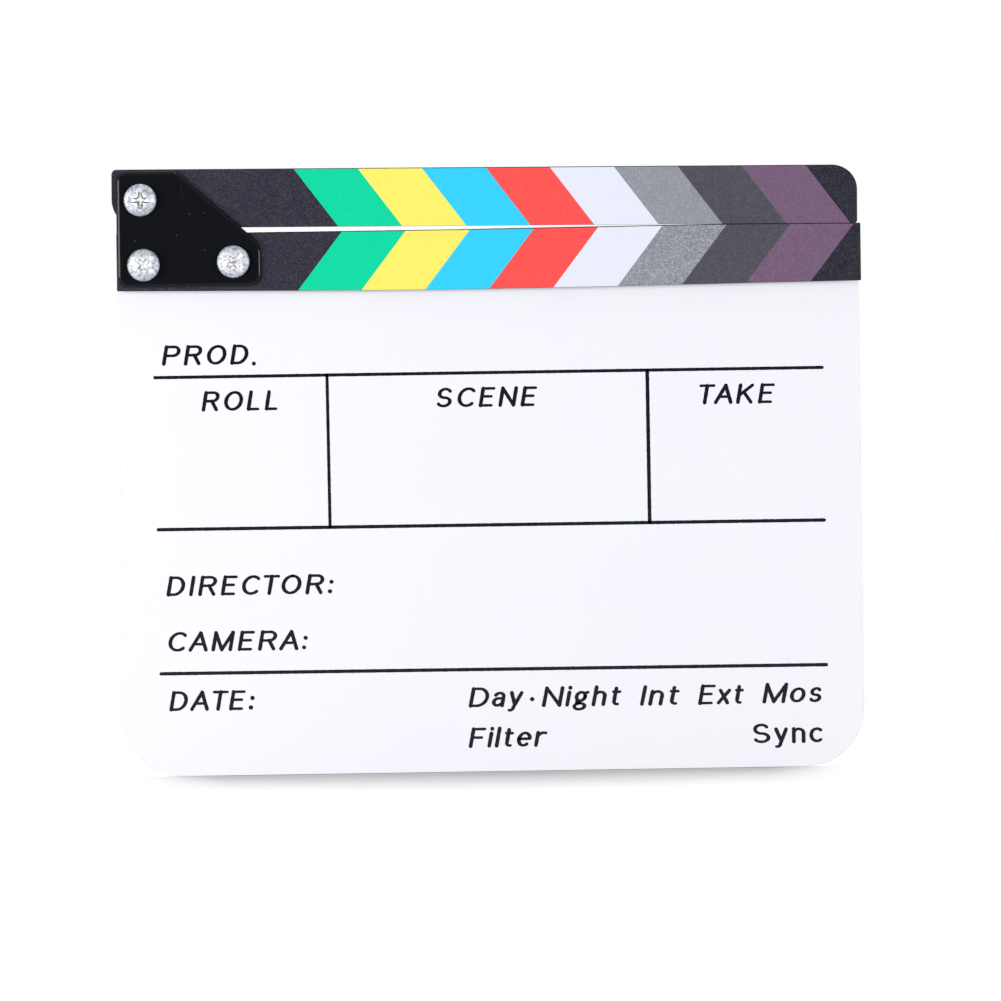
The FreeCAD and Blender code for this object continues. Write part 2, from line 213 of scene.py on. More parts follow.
def ring_quads(rows, columns, looped=False):
    """Quads of a grid of closed rings, each joined to the next, and the last to the first if looped."""
    index = np.arange(rows * columns).reshape(rows, columns)
    beside = np.roll(index, -1, axis=1)
    quads = np.stack([index, np.roll(index, -1, axis=0), np.roll(beside, -1, axis=0), beside], axis=-1)
    return (quads if looped else quads[:-1]).reshape(-1, 4)


def add_piece(name, points, quads, material, body, slot, **shades):
    """A new piece at the origin: merged, faces outward, smooth but for its sharp edges, riding on a body.
    Shades are attributes for its material, one value for each point."""
    mesh = bpy.data.meshes.new(name)
    mesh.from_pydata(points.reshape(-1, 3).tolist(), [], quads.tolist())
    for shade, values in shades.items():
        mesh.attributes.new(shade, "FLOAT", "POINT").data.foreach_set("value", values.ravel())
    shell = bmesh.new()
    shell.from_mesh(mesh)
    bmesh.ops.remove_doubles(shell, verts=shell.verts, dist=MERGE_DISTANCE)
    bmesh.ops.recalc_face_normals(shell, faces=shell.faces)
    shell.to_mesh(mesh)
    shell.free()
    mesh.shade_smooth()
    mesh.set_sharp_from_angle(angle=SHARP_ANGLE)
    mesh.materials.append(material)
    piece = bpy.data.objects.new(name, mesh)
    bpy.context.scene.collection.objects.link(piece)
    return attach(piece, body)


def ink_stroke(path, thick, thin, thickness):
    """Rings of a flat pen stroke along a path (x, z): a four-cornered section, thick where the path climbs
    and thin where it runs level, whose width wavers by two sines and shrinks to nothing over round ends.
    A single point is drawn out by a hair, so that its two ends make a dot."""
    if len(path) == 1:
        path = np.concatenate([path, path + [INK_OVERLAP, 0]])
    reach = np.concatenate([[0], np.cumsum(np.linalg.norm(np.diff(path, axis=0), axis=1))])
    along = np.linspace(0, reach[-1], max(STROKE_LEAST_ROWS, int(reach[-1] / INK_STEP)))
    middle = np.stack([np.interp(along, reach, path[:, axis]) for axis in (0, 1)], axis=-1)
    heading = np.gradient(middle, axis=0)
    heading /= np.linalg.norm(heading, axis=1, keepdims=True)
    waver = sum(np.sin(2 * np.pi * along / wave + middle[0, 0] / MM) for wave in INK_WAVES)
    half = (thin + (thick - thin) * heading[:, 1] ** 2) / 2 * (1 + INK_WAVER / 2 * waver)
    quarter = np.linspace(0, np.pi / 2, CAP_ROWS)[:-1]
    first = middle[0] - half[0] * np.cos(quarter)[:, None] * heading[0]
    last = middle[-1] + half[-1] * np.cos(quarter)[::-1, None] * heading[-1]
    middle = np.concatenate([first, middle, last])
    half = np.concatenate([half[0] * np.sin(quarter), half, half[-1] * np.sin(quarter)[::-1]])
    heading = np.concatenate([
        np.repeat(heading[:1], len(quarter), axis=0),
        heading,
        np.repeat(heading[-1:], len(quarter), axis=0)])
    across = np.stack([-heading[:, 1], heading[:, 0]], axis=-1) * half[:, None]
    plan = middle[:, None] + across[:, None] * np.array([-1, 1, 1, -1])[:, None]
    depth = np.broadcast_to(BOARD_FRONT - thickness * np.array([0, 0, 1, 1]), plan.shape[:2])
    return np.stack([plan[..., 0], depth, plan[..., 1]], axis=-1)


def ink_layer(name, strokes, material):
    """One printed piece of several strokes, each a hair thicker than the last, so no two faces coincide."""
    points, quads, count = [], [], 0
    for index, (path, thick, thin) in enumerate(strokes):
        rings = ink_stroke(path, thick, thin, INK_THICKNESS + index * INK_OVERLAP)
        points.append(rings.reshape(-1, 3))
        quads.append(ring_quads(len(rings), 4) + count)
        count += len(points[-1])
    return add_piece(name, np.concatenate(points), np.concatenate(quads), material, "slate", "printed_film")


ink = screen_ink()
for name, start, end, width in RULES:
    ink_layer(name, [(np.array([start, end]) * MM, width * MM, width * MM)], ink)

# Field headings: the plain words that any slate needs over its fields, in the same ink as the lines.
# The letters are drawn with a pen, slanted, upright strokes heavier than level ones, and set widely apart.

CAPITAL_PEN = (1.54 * MM, 1.14 * MM)
SMALL_PEN = (1.58 * MM, 1.13 * MM)
CAP_HEIGHT = 8.0 * MM
SMALL_SHARE = 0.73
CAPITAL_GAP = 0.5
SMALL_GAP = 0.37
OPEN_SIDES = {"A": 0.1, "T": 0.16}
SLANT = 0.165
DOT_WIDTH = 1.75 * MM
# Field, its word, the word's left end, right end and foot in millimetres, and its slant.
HEADINGS = [
    ("production", "PROD.", -132.8, -94.8, 166.6, SLANT),
    ("roll", "ROLL", -117.0, -86.1, 147.85, SLANT),
    ("scene", "SCENE", -21.8, 19.3, 147.9, SLANT),
    ("take", "TAKE", 84.6, 115.6, 147.65, SLANT),
    ("director", "DIRECTOR:", -132.3, -64.6, 73.1, SLANT),
    ("camera", "CAMERA:", -131.8, -75.4, 50.55, SLANT),
    ("date", "DATE:", -131.8, -97.3, 26.5, SLANT),
    ("day", "Day", -10.5, 11.9, 26.15, SLANT),
    ("night", "Night", 19.2, 51.8, 25.95, SLANT),
    ("interior", "Int", 59.0, 75.4, 25.8, SLANT),
    ("exterior", "Ext", 82.6, 101.5, 25.8, SLANT),
    ("silent", "Mos", 108.7, 132.8, 26.0, SLANT),
    ("filter", "Filter", -10.7, 21.5, 9.8, SLANT),
    ("sync", "Sync", 104.8, 133.0, 9.7, 0.0),
]
DAY_NIGHT_DOT = (15.3, 29.05)
OVAL_LEAST_POINTS = 4
OVAL_STEP_DEGREES = 9


def oval(x, y, wide, high, start, stop):
    """Points on an ellipse from one angle to another, in degrees anticlockwise from the right."""
    points = OVAL_LEAST_POINTS + int(abs(stop - start) / OVAL_STEP_DEGREES)
    angles = np.radians(np.linspace(start, stop, points))
    return [*zip((x + wide * np.cos(angles)).tolist(), (y + high * np.sin(angles)).tolist())]


# Each letter is a list of strokes, and one point alone is a dot.
# A capital, or a small letter's body, is one high.
LETTERS = {
    "A": [[(0, 0), (0.42, 1)], [(0.42, 1), (0.84, 0)], [(0.15, 0.34), (0.69, 0.34)]],
    "C": [oval(0.45, 0.5, 0.45, 0.5, 48, 312)],
    "D": [[(0, 0), (0, 1)], [(0, 1), *oval(0.3, 0.5, 0.44, 0.5, 90, -90), (0, 0)]],
    "E": [[(0, 0), (0, 1)], [(0, 1), (0.6, 1)], [(0, 0.53), (0.52, 0.53)], [(0, 0), (0.6, 0)]],
    "F": [[(0, 0), (0, 1)], [(0, 1), (0.56, 1)], [(0, 0.5), (0.48, 0.5)]],
    "I": [[(0, 0), (0, 1)]],
    "K": [[(0, 0), (0, 1)], [(0.66, 1), (0, 0.38)], [(0.24, 0.6), (0.72, 0)]],
    "L": [[(0, 1), (0, 0)], [(0, 0), (0.55, 0)]],
    "M": [[(0, 0), (0, 1)], [(0, 1), (0.46, 0)], [(0.46, 0), (0.92, 1)], [(0.92, 1), (0.92, 0)]],
    "N": [[(0, 0), (0, 1)], [(0, 1), (0.74, 0)], [(0.74, 0), (0.74, 1)]],
    "O": [oval(0.44, 0.5, 0.44, 0.5, 90, 450)],
    "P": [[(0, 0), (0, 1)], [(0, 1), *oval(0.44, 0.74, 0.29, 0.26, 90, -90), (0, 0.48)]],
    "R": [[(0, 0), (0, 1)], [(0, 1), *oval(0.44, 0.75, 0.28, 0.25, 90, -90), (0, 0.5)],
          [(0.42, 0.5), (0.74, 0)]],
    "S": [[*oval(0.33, 0.745, 0.3, 0.255, 30, 262), *oval(0.34, 0.245, 0.33, 0.245, 82, -150)]],
    "T": [[(0, 1), (0.74, 1)], [(0.37, 1), (0.37, 0)]],
    "a": [[*oval(0.31, 0.7, 0.29, 0.3, 155, 0), (0.6, 0)],
          [(0.6, 0.57), *oval(0.28, 0.285, 0.28, 0.285, 90, 270), (0.42, 0.05), (0.6, 0.22)]],
    "c": [oval(0.38, 0.5, 0.38, 0.5, 50, 310)],
    "e": [[(0.02, 0.53), (0.73, 0.53), *oval(0.37, 0.5, 0.37, 0.5, 8, 310)]],
    "g": [oval(0.29, 0.66, 0.28, 0.34, 0, 360), [(0.5, 0.9), (0.7, 1.0)],
          [(0.16, 0.37), (0.08, 0.27), (0.1, 0.17), (0.2, 0.12), *oval(0.31, -0.13, 0.33, 0.24, 90, -270)]],
    "h": [[(0, 0), (0, 1.4)], [*oval(0.32, 0.66, 0.32, 0.34, 165, 0), (0.64, 0)]],
    "i": [[(0, 0), (0, 1)], [(0, 1.38)]],
    "l": [[(0, 0), (0, 1.4)]],
    "n": [[(0, 0), (0, 1)], [*oval(0.32, 0.66, 0.32, 0.34, 165, 0), (0.64, 0)]],
    "o": [oval(0.39, 0.5, 0.39, 0.5, 90, 450)],
    "r": [[(0, 0), (0, 1)], oval(0.4, 0.58, 0.4, 0.42, 165, 70)],
    "s": [[*oval(0.29, 0.745, 0.26, 0.255, 35, 262), *oval(0.3, 0.245, 0.29, 0.245, 82, -150)]],
    "t": [[(0.16, 1.28), (0.16, 0.25), *oval(0.38, 0.25, 0.22, 0.25, 180, 285)], [(0, 1), (0.44, 1)]],
    "x": [[(0, 0), (0.64, 1)], [(0, 1), (0.64, 0)]],
    "y": [[(0, 1), (0.33, 0.05)], [(0.66, 1), (0.28, -0.16), *oval(0.08, -0.14, 0.2, 0.27, -20, -110)]],
    ".": [[(0, -0.05)]],
    ":": [[(0, 0.06)], [(0, 0.62)]],
}


def heading_strokes(text, left, right, baseline, slant):
    """Strokes of a word: letters in a row, each a gap past the last one's right side, or less beside a
    letter that is open there, scaled to the cap height, slanted by their height, and stretched to run
    from left to right."""
    strokes, pen = [], 0.0
    thick, thin = CAPITAL_PEN if text.isupper() else SMALL_PEN
    gap = CAPITAL_GAP if text.isupper() else SMALL_GAP
    unit = CAP_HEIGHT - thin
    for letter in text:
        share = SMALL_SHARE if letter.islower() else 1.0
        trim = OPEN_SIDES.get(letter, 0.0)
        pen -= trim
        paths = [np.array(shape) * share for shape in LETTERS[letter]]
        for path in paths:
            leaning = path + [pen, 0]
            leaning[:, 0] += slant * leaning[:, 1]
            widths = (DOT_WIDTH, DOT_WIDTH) if len(path) == 1 else (thick, thin)
            strokes.append((leaning * unit, *widths))
        pen += max(path[:, 0].max() for path in paths) + gap - trim
    ends = np.concatenate([stroke[0][:, 0] for stroke in strokes])
    stretch = (right - left - thick) / np.ptp(ends)
    start = np.array([left + thick / 2 - ends.min() * stretch, baseline + thin / 2])
    return [(path * [stretch, 1] + start, *widths) for path, *widths in strokes]


for field, text, left, right, baseline, slant in HEADINGS:
    strokes = heading_strokes(text, left * MM, right * MM, baseline * MM, slant)
    ink_layer("heading_" + field, strokes, ink)
ink_layer("day_night_dot", [(np.array([DAY_NIGHT_DOT]) * MM, DOT_WIDTH, DOT_WIDTH)], ink)

# Bonding tape: a thin double-sided film of clear acrylic glue, pressed between the stick and the board.
# Only its edge can be seen, set back under the stick.

TAPE_CLEAR = "dcdacf"
TAPE_CLOUDY = "c8c5b6"
TAPE_BUBBLE = 1.6 * MM


def transfer_tape():
    """Acrylic glue film: pale, soft-edged bubbles and a dull, tacky face."""
    material, tree, shader, place = start_material("acrylic_transfer_tape", {"IOR": 1.47, "Roughness": 0.6})
    bubble = add_node(
        tree, "ShaderNodeTexNoise",
        {"Vector": place.outputs["Object"], "Scale": 1 / TAPE_BUBBLE, "Detail": 2.0})
    colour = add_node(
        tree, "ShaderNodeValToRGB", {"Fac": bubble.outputs["Fac"]},
        stops=[(0.4, linear(TAPE_CLEAR)), (0.7, linear(TAPE_CLOUDY))])
    feed(tree, shader, {"Base Color": colour.outputs["Color"]})
    return material


nodes["stick_tape"].material_slots[0].material = transfer_tape()

# Sticks: two bars of black plastic, sawn from sheet and eased along every edge.
# Their faces keep the sheet's fine grain, and knocks have rubbed the eased edges grey.

STICK_BLACK = "131317"
STICK_GRAIN_TONE = "1a1a1f"
STICK_SAWN = "34343a"
STICK_RUBBED = "55555c"
STICK_GRAIN = 0.6 * MM
STICK_GRAIN_DEPTH = 0.03 * MM
SAW_MARK_APART = 0.9 * MM
SAW_MARK_LENGTH = 25 * MM
RUB_LENGTH = 5 * MM
SAWN_SIDE_FACING = 0.5
EASED_FACING = math.sqrt(0.5)
EASED_SPREAD = 0.2


def black_plastic():
    """Sawn black plastic: a fine grain in colour and bump, saw marks across the sawn sides, which have
    no sheen, and grey rubs where the face turns at an eased edge."""
    material, tree, shader, place = start_material("sawn_plastic_black", {"IOR": 1.5})
    spot = place.outputs["Object"]
    grain = add_node(tree, "ShaderNodeTexNoise", {"Vector": spot, "Scale": 1 / STICK_GRAIN, "Detail": 4.0})
    plain = add_node(
        tree, "ShaderNodeValToRGB", {"Fac": grain.outputs["Fac"]},
        stops=[(0.35, linear(STICK_BLACK)), (0.7, linear(STICK_GRAIN_TONE))])
    normal = add_node(tree, "ShaderNodeSeparateXYZ", {"Vector": place.outputs["Normal"]})
    facing = add_node(tree, "ShaderNodeMath", {0: normal.outputs["Y"]}, operation="ABSOLUTE")
    drawn = add_node(
        tree, "ShaderNodeMapping",
        {"Vector": spot, "Scale": (SAW_MARK_APART, SAW_MARK_LENGTH, SAW_MARK_APART)}, vector_type="TEXTURE")
    marks = add_node(
        tree, "ShaderNodeTexNoise", {"Vector": drawn.outputs["Vector"], "Scale": 1.0, "Detail": 4.0})
    sawn = add_node(
        tree, "ShaderNodeMapRange",
        {"Value": marks.outputs["Fac"], "From Min": 0.4, "From Max": 0.75, "To Min": 0.0, "To Max": 1.0})
    side = add_node(
        tree, "ShaderNodeMath",
        {0: facing.outputs["Value"], 1: SAWN_SIDE_FACING}, operation="LESS_THAN")
    marked = add_node(
        tree, "ShaderNodeMath", {0: side.outputs["Value"], 1: sawn.outputs["Result"]}, operation="MULTIPLY")
    cut = add_node(
        tree, "ShaderNodeMixRGB",
        {"Fac": marked.outputs["Value"], "Color1": plain.outputs["Color"], "Color2": linear(STICK_SAWN)})
    eased = add_node(
        tree, "ShaderNodeMath",
        {0: facing.outputs["Value"], 1: EASED_FACING, 2: EASED_SPREAD}, operation="COMPARE")
    knocks = add_node(tree, "ShaderNodeTexNoise", {"Vector": spot, "Scale": 1 / RUB_LENGTH, "Detail": 6.0})
    rubbed = add_node(
        tree, "ShaderNodeMapRange",
        {"Value": knocks.outputs["Fac"], "From Min": 0.48, "From Max": 0.7, "To Min": 0.1, "To Max": 1.0})
    worn = add_node(
        tree, "ShaderNodeMath",
        {0: eased.outputs["Value"], 1: rubbed.outputs["Result"]}, operation="MULTIPLY")
    colour = add_node(
        tree, "ShaderNodeMixRGB",
        {"Fac": worn.outputs["Value"], "Color1": cut.outputs["Color"], "Color2": linear(STICK_RUBBED)})
    gloss = add_node(
        tree, "ShaderNodeMapRange",
        {"Value": grain.outputs["Fac"], "From Min": 0.3, "From Max": 0.7, "To Min": 0.42, "To Max": 0.56})
    sheen = add_node(
        tree, "ShaderNodeMapRange",
        {"Value": facing.outputs["Value"], "From Min": 0.4, "From Max": 0.9, "To Min": 0.0, "To Max": 0.5})
    bump = add_node(
        tree, "ShaderNodeBump",
        {"Height": grain.outputs["Fac"], "Strength": 0.5, "Distance": STICK_GRAIN_DEPTH})
    feed(tree, shader, {
        "Base Color": colour.outputs["Color"],
        "Roughness": gloss.outputs["Result"],
        "Specular IOR Level": sheen.outputs["Result"],
        "Normal": bump.outputs["Normal"]})
    return material


stick_plastic = black_plastic()
nodes["lower_stick"].material_slots[0].material = stick_plastic
nodes["clapper_stick"].material_slots[0].material = stick_plastic

# Printed films: one on the front of each stick, a matt vinyl with a fine grain, printed with colour bars.
# The bars slope to meet in chevrons at the clap line.
# The grain's specks are painted glints added to each ink's colour, strongest on the dark inks.

CLAP_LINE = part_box("slate_board")[1].z
LOWER_CHEVRON_START = -59.47 * MM
CLAPPER_CHEVRON_START = -59.3 * MM
BAR_LEAN = math.radians(37.4)
LOWER_BAR_PITCH = 25.894 * MM
CLAPPER_BAR_PITCH = 25.91 * MM
CLAPPER_DIP = math.radians(0.428)
# Ink of each bar, and the painted glint that a speck of grain adds to its colour
# on the clapper and on the lower stick.
BARS = [
    ("32313d", 0.035, 0.035),
    ("00d8a2", 0.018, 0.018),
    ("fef06c", 0.02, 0.02),
    ("36d1fc", 0.022, 0.022),
    ("fc5653", 0.022, 0.022),
    ("e9ecfb", 0.012, 0.012),
    ("9699a2", 0.1, 0.24),
    ("514f58", 0.038, 0.038),
    ("765d78", 0.042, 0.052),
    ("2c2b35", 0.032, 0.032),
]
CLAPPER_GLINT, LOWER_GLINT = 1, 2
RAMP_STEPS = 256
BAR_STEPS = 25
# The real grain is too fine to show, so it is drawn coarser.
FILM_GRAIN = 0.5 * MM
FILM_GLINT_MEAN = 0.3
FILM_GRAIN_DEPTH = 0.05 * MM
FILM_MOTTLE = 6 * MM


def printed_film(name, across, up, first, pitch, glints):
    """Printed vinyl: colour bars by distance along the stick, drawn out by the height over the clap line.

    The distance is the point's part along the stick plus its part up it times the bars' lean. It runs
    through a stepped ramp, one stop for each bar, whose alpha says how much painted glint a speck of grain
    adds to that ink's colour. A bar is a whole number of the ramp's steps long, and a stop lies half a step
    early, so that it isn't rounded.
    """
    material, tree, shader, place = start_material(name, {"IOR": 1.5, "Specular IOR Level": 0.2})
    spot = place.outputs["Object"]
    start = Vector((first, 0, CLAP_LINE))
    step = (across + up * math.tan(BAR_LEAN)) * BAR_STEPS / (pitch * RAMP_STEPS)
    along = add_node(tree, "ShaderNodeVectorMath", {0: spot, 1: step}, operation="DOT_PRODUCT")
    reached = add_node(
        tree, "ShaderNodeMath", {0: along.outputs["Value"], 1: BAR_STEPS / RAMP_STEPS - start.dot(step)},
        operation="ADD")
    stops = [
        (max(0, index * BAR_STEPS - 0.5) / RAMP_STEPS, linear(bar[0])[:3] + [bar[glints]])
        for index, bar in enumerate(BARS)]
    print_colour = add_node(tree, "ShaderNodeValToRGB", {"Fac": reached.outputs["Value"]}, stops=stops)
    print_colour.color_ramp.interpolation = "CONSTANT"
    grain = add_node(
        tree, "ShaderNodeTexNoise",
        {"Vector": spot, "Scale": 1 / FILM_GRAIN, "Detail": 2.0, "Roughness": 0.6})
    mottle = add_node(tree, "ShaderNodeTexNoise", {"Vector": spot, "Scale": 1 / FILM_MOTTLE, "Detail": 2.0})
    # Painted glints: the grain's bright specks are added to the ink's colour, scaled by each bar's alpha.
    glint_speck = add_node(
        tree, "ShaderNodeMapRange",
        {"Value": grain.outputs["Fac"], "From Min": 0.45, "From Max": 0.68,
         "To Min": -FILM_GLINT_MEAN, "To Max": 1 - FILM_GLINT_MEAN})
    cast = add_node(
        tree, "ShaderNodeMapRange",
        {"Value": mottle.outputs["Fac"], "From Min": 0.25, "From Max": 0.75, "To Min": -0.1, "To Max": 0.1})
    texture = add_node(
        tree, "ShaderNodeMath", {0: glint_speck.outputs["Result"], 1: cast.outputs["Result"]}, operation="ADD")
    glint = add_node(
        tree, "ShaderNodeMath",
        {0: texture.outputs["Value"], 1: print_colour.outputs["Alpha"]}, operation="MULTIPLY")
    colour = add_node(
        tree, "ShaderNodeVectorMath",
        {0: print_colour.outputs["Color"], 1: glint.outputs["Value"]}, operation="ADD")
    gloss = add_node(
        tree, "ShaderNodeMapRange",
        {"Value": grain.outputs["Fac"], "From Min": 0.3, "From Max": 0.7, "To Min": 0.34, "To Max": 0.46})
    bump = add_node(
        tree, "ShaderNodeBump",
        {"Height": grain.outputs["Fac"], "Strength": 0.4, "Distance": FILM_GRAIN_DEPTH})
    feed(tree, shader, {
        "Base Color": colour.outputs["Vector"],
        "Roughness": gloss.outputs["Result"],
        "Normal": bump.outputs["Normal"]})
    return material


nodes["lower_stick_film"].material_slots[0].material = printed_film(
    "printed_vinyl_lower_bars", Vector((1, 0, 0)), Vector((0, 0, -1)), LOWER_CHEVRON_START, LOWER_BAR_PITCH,
    LOWER_GLINT)
nodes["clapper_film"].material_slots[0].material = printed_film(
    "printed_vinyl_clapper_bars",
    Vector((math.cos(CLAPPER_DIP), 0, -math.sin(CLAPPER_DIP))),
    Vector((math.sin(CLAPPER_DIP), 0, math.cos(CLAPPER_DIP))),
    CLAPPER_CHEVRON_START,
    CLAPPER_BAR_PITCH,
    CLAPPER_GLINT)

# Hinge plate: sheet steel with one sloping side, pressed round along its front edge and stoved gloss black.
# It is bolted to the lower stick and carries the pivot screw.
# Handling has left hairlines and dust on the gloss.

ENAMEL_BLACK = "14161a"
HAIRLINE_GREY = "2e3034"
DUST_GREY = "5c5d62"
ENAMEL_PEEL = 2.2 * MM
ENAMEL_PEEL_DEPTH = 0.02 * MM
HAIRLINE_APART = 6 * MM
HAIRLINE_LENGTH = 130 * MM
HAIRLINE_TURN = math.radians(-7)
HAIRLINE_SHARE = 0.03
DUST_APART = 20 * MM
DUST_SIZE = 0.2 * MM


def stoved_enamel():
    """Gloss black enamel: orange peel in the bump, sparse hairlines and dust specks in the colour.

    A hairline is the near field of a point scattered on the plate in a space drawn out along the scratches,
    and a dust speck is the near field of a point in a space that isn't drawn out.
    """
    material, tree, shader, place = start_material(
        "stoved_enamel_gloss_black", {"IOR": 1.5, "Specular IOR Level": 0.13})
    spot = place.outputs["Object"]
    drawn = add_node(
        tree, "ShaderNodeMapping",
        {"Vector": spot, "Rotation": (math.pi / 2, HAIRLINE_TURN, 0),
         "Scale": (HAIRLINE_APART, HAIRLINE_LENGTH, 1)},
        vector_type="TEXTURE")
    strand = add_node(
        tree, "ShaderNodeTexVoronoi",
        {"Vector": drawn.outputs["Vector"], "Scale": 1.0}, voronoi_dimensions="2D")
    hairline = add_node(
        tree, "ShaderNodeMapRange",
        {"Value": strand.outputs["Distance"], "From Max": HAIRLINE_SHARE, "To Min": 1.0, "To Max": 0.0})
    level = add_node(
        tree, "ShaderNodeMapping",
        {"Vector": spot, "Rotation": (math.pi / 2, 0, 0), "Scale": (DUST_APART, DUST_APART, 1)},
        vector_type="TEXTURE")
    specks = add_node(
        tree, "ShaderNodeTexVoronoi",
        {"Vector": level.outputs["Vector"], "Scale": 1.0}, voronoi_dimensions="2D")
    dust = add_node(
        tree, "ShaderNodeMath",
        {0: specks.outputs["Distance"], 1: DUST_SIZE / DUST_APART}, operation="LESS_THAN")
    marked = add_node(
        tree, "ShaderNodeMixRGB",
        {"Fac": hairline.outputs["Result"],
         "Color1": linear(ENAMEL_BLACK), "Color2": linear(HAIRLINE_GREY)})
    colour = add_node(
        tree, "ShaderNodeMixRGB",
        {"Fac": dust.outputs["Value"], "Color1": marked.outputs["Color"], "Color2": linear(DUST_GREY)})
    peel = add_node(tree, "ShaderNodeTexNoise", {"Vector": spot, "Scale": 1 / ENAMEL_PEEL, "Detail": 1.0})
    gloss = add_node(
        tree, "ShaderNodeMapRange",
        {"Value": peel.outputs["Fac"], "From Min": 0.35, "From Max": 0.65, "To Min": 0.07, "To Max": 0.12})
    bump = add_node(
        tree, "ShaderNodeBump",
        {"Height": peel.outputs["Fac"], "Strength": 0.25, "Distance": ENAMEL_PEEL_DEPTH})
    feed(tree, shader, {
        "Base Color": colour.outputs["Color"],
        "Roughness": gloss.outputs["Result"],
        "Normal": bump.outputs["Normal"]})
    return material


nodes["hinge_plate"].material_slots[0].material = stoved_enamel()

# Screws: three pan heads of bright zinc-plated steel, with cross recesses that a driver has chewed.
# Two clamp the plate, stick and board; the third is the pivot. Their shanks carry a rolled metric thread.

ZINC_BRIGHT = "cdd0dd"
ZINC_GREY = "b4b8c6"
# Grime and painted shade: dark on the recess walls, in the shallow ends and in dents.
ZINC_GRIME_AND_SHADE = "56544b"
# Painted light: the recess floors are painted pale to cancel the shade inside the recess.
ZINC_RECESS_LIT = "f3f5f7"
# Painted highlight: bright scraped metal on the burr, painted near white.
ZINC_SCRAPED_HIGHLIGHT = "fafaff"
ZINC_MOTTLE = 0.8 * MM
# Tool scuffs are too fine to show, so they are drawn coarser.
ZINC_SCUFF = 0.3 * MM
ZINC_SCUFF_DEPTH = 0.02 * MM
HEAD_HEIGHT = 3.5 * MM
HEAD_RIM_HEIGHT = 1.0 * MM
SHANK_RADIUS = 3.0 * MM
THREAD_PITCH = 1.0 * MM
THREAD_DEPTH = 0.6 * MM
THREAD_FLANK = 1.25
THREAD_RUN_OUT = 1.0 * MM
END_CHAMFER = 0.7 * MM
RECESS_FOOT = 1.8 * MM
RECESS_DEPTH = 1.4 * MM
RECESS_HALF_WIDTH = 0.58 * MM
RECESS_WALL_SLOPE = 2.4
RECESS_EDGE = 0.15 * MM
RECESS_CHEWING = 0.22
CHEW_WAVE = 0.5 * MM
CHEW_PHASES = 6
PILOT_REACH = 2.7 * MM
PILOT_DEPTH = 1.9 * MM
EDGE_BLEND = 0.04 * MM
BURR_HEIGHT = 0.3 * MM
BURR_SPREAD = 1.5 * MM
DENT_COUNT = 420
DENT_DEPTH = 0.3 * MM
DENT_SHARES = (-0.3, 1.0)
DENT_SPREADS = (0.12 * MM, 0.5 * MM)
CROWN_SQUARENESS = 2.7
WALL_SHADE_SLOPE = (1.2, 2.6)
SHALLOW_GRIME_SHADE_DEPTH = 0.3 * MM
SHALLOW_GRIME_SHADE_SPREAD = 0.28 * MM
SHALLOW_GRIME_SHADE_SHARE = 0.7
DENT_GRIME_SHADE = 0.6
SCRAPE_HIGHLIGHT_SHARE = 1.5
DENT_GRIME_SHADE_DEPTH = 0.25 * MM
HEAD_ROWS = 150
SCREW_COLUMNS = 360
SHANK_STEP = 0.2 * MM
TWIST_LEAST_RADIUS = 0.1 * MM
UNDER_RIM_RADII = (1.0, 1.0, 0.985)
UNDER_RIM_HEIGHTS = (0.6, 0.1, 0.0, 0.0)
PLATE_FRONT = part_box("hinge_plate")[0].y
# Piece, node, turn of the recess in degrees, reach of its wings in millimetres,
# share of dirt and painted shade, seed.
SCREWS = [
    ("pivot_pan_screw", "pivot_screw", 0.0, (5.1, 4.0), 1.0, 11),
    ("corner_pan_screw", "corner_screw", 48.0, (5.7, 5.5), 0.5, 12),
    ("inner_pan_screw", "inner_screw", 42.0, (5.5, 5.6), 0.4, 13),
]


